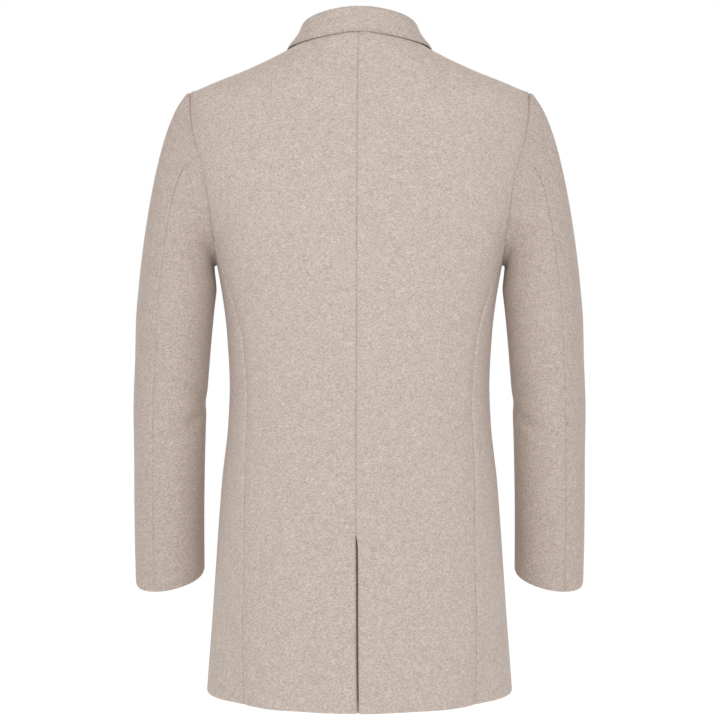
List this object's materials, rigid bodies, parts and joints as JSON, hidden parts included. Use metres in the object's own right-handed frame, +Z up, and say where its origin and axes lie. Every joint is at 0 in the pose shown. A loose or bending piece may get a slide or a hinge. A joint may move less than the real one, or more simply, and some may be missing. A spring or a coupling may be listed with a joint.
{
  "type": "winter coat",
  "caption": "Thigh-length wool overcoat in oatmeal melange, filled out as worn, with a turn-down collar, seamed sleeves, a centre-back vent and a single-breasted front.",
  "frame": {"origin": "midway between the shoulders at the base of the neck, where the wearer's shoulders hold the coat", "axes": "+Z up, the wearer faces -Y, the wearer's left is +X"},
  "size_m": [0.5982, 0.2868, 0.894],
  "materials": {
    "wool": "matte",
    "horn": "satin"
  },
  "bodies": {
    "root": {"back_left": "wool", "back_right": "wool", "vent_underlap": "wool", "front_left": "wool", "front_right": "wool", "top_sleeve_left": "wool", "top_sleeve_right": "wool", "under_sleeve_left": "wool", "under_sleeve_right": "wool", "collar": "wool", "lapel_left": "wool", "lapel_right": "wool", "button_top": "horn", "button_middle": "horn", "button_bottom": "horn"}
  },
  "joints": []
}
